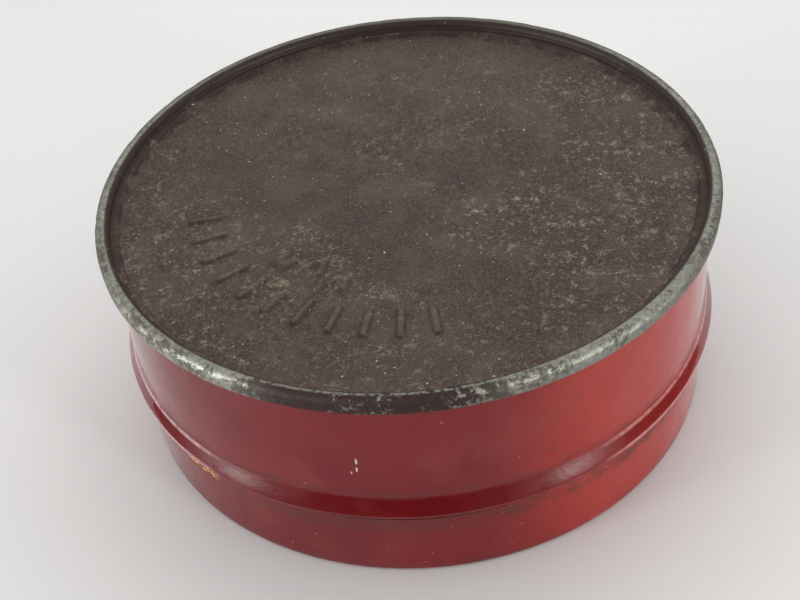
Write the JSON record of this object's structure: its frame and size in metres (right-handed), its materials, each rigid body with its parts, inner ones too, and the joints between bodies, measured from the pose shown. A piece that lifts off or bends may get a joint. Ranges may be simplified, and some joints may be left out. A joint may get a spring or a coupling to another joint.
{
  "type": "shoe polish tin",
  "caption": "Round shallow tinplate can with a double-seamed base, a beaded red wall and a slip lid, holding a cake of polish.",
  "frame": {"origin": "centre of the lid's outer face, on the tin's axis, where the tin lies on the surface under it", "axes": "+Z along the tin's axis from the lid to the base end; the body's side seam is on the +Y side"},
  "size_m": [0.082, 0.082, 0.0324],
  "materials": {
    "red_lacquer": "worn red lacquer on tinplate, semi-gloss",
    "tarnished_tinplate": "dark brown-grey tarnished tinplate, speckled, bare along the seam",
    "lining_compound": "matt lining compound",
    "solder": "dull grey solder",
    "polish_wax": "dark wax, slightly glossy",
    "waxed_paper": "translucent waxed paper, yellowed"
  },
  "bodies": {
    "lid_body": {"lid": "red_lacquer"},
    "disc_body": {"cover_disc": "waxed_paper"},
    "can_body": {"body_ring": "red_lacquer", "base_end": "tarnished_tinplate", "seam_compound": "lining_compound", "side_seam_solder": "solder", "polish_cake": "polish_wax"}
  },
  "joints": [
    {"name": "lid_twist", "type": "hinge", "parent": "lid_body", "child": "disc_body", "pos_m": [0, 0, 0.001], "axis": [0, 0, 1], "continuous": true},
    {"name": "lid_slide", "type": "slide", "parent": "disc_body", "child": "can_body", "axis": [0, 0, 1], "range_m": [0, 0.025]}
  ]
}
